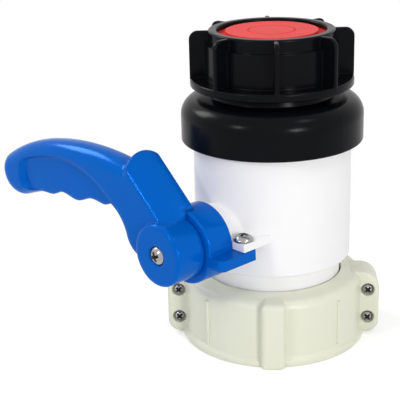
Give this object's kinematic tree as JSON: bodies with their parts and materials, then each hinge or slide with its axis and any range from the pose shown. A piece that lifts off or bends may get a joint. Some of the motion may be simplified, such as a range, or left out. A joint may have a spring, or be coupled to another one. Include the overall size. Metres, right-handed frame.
{
  "type": "ibc tank valve",
  "caption": "Lever butterfly valve for a bulk container: split coupling nut, white barrel with disc and stem, blue lever with lock tab, black outlet adapter and winged screw cap.",
  "frame": {"origin": "centre of the coupling nut's open end, on the pipe's axis", "axes": "+Z along the pipe from the tank to the outlet, stem towards -Y, closed lever's grip towards -X"},
  "size_m": [0.1961, 0.139, 0.1724],
  "materials": {
    "white_body": "semi-matte moulded polyethylene",
    "black_plastic": "satin moulded polypropylene",
    "red_plate": "satin moulded polypropylene",
    "blue_lever": "semi-gloss moulded nylon",
    "cream_nut": "semi-matte moulded polypropylene",
    "steel": "polished stainless steel",
    "seal_rubber": "matte elastomer",
    "stem_plastic": "glass-filled nylon"
  },
  "bodies": {
    "valve": {"valve_body": "white_body", "outlet_adapter": "black_plastic", "adapter_seal": "seal_rubber", "inlet_gasket": "seal_rubber", "stem_bush": "stem_plastic", "thrust_washer": "stem_plastic"},
    "lever": {"stem": "stem_plastic", "stem_o_rings": "seal_rubber", "butterfly_disc": "white_body", "disc_seal": "seal_rubber", "disc_pins": "steel", "lock_ring": "blue_lever", "handle": "blue_lever", "handle_washer": "steel", "handle_screw": "steel"},
    "cap_plate": {"cap_plate": "red_plate", "cap_gasket": "seal_rubber"},
    "cap_ring": {"cap_ring": "black_plastic"},
    "lock_screw": {"lock_screw": "steel"},
    "nut": {"nut_half_front": "cream_nut", "nut_half_back": "cream_nut", "nut_screws": "steel", "nut_hex_nuts": "steel"}
  },
  "joints": [
    {"name": "lever_turn", "type": "hinge", "parent": "valve", "child": "lever", "pos_m": [0, 0, 0.0689], "axis": [0, 1, 0], "range_deg": [0, 90]},
    {"name": "nut_spin", "type": "hinge", "parent": "valve", "child": "nut", "pos_m": [0, 0, 0], "axis": [0, 0, 1], "continuous": true},
    {"name": "cap_lift", "type": "slide", "parent": "valve", "child": "cap_plate", "axis": [0, 0, 1], "range_m": [0, 0.018]},
    {"name": "cap_turn", "type": "hinge", "parent": "cap_plate", "child": "cap_ring", "pos_m": [0, 0, 0.1584], "axis": [0, 0, 1], "range_deg": [0, 1080]},
    {"name": "lock_screw_lift", "type": "slide", "parent": "valve", "child": "lock_screw", "axis": [0, 0, 1], "range_m": [0, 0.01]}
  ],
  "couplings": [
    {"joint": "cap_lift", "follows": "cap_turn", "m_per_rad": 0.00095493}
  ]
}
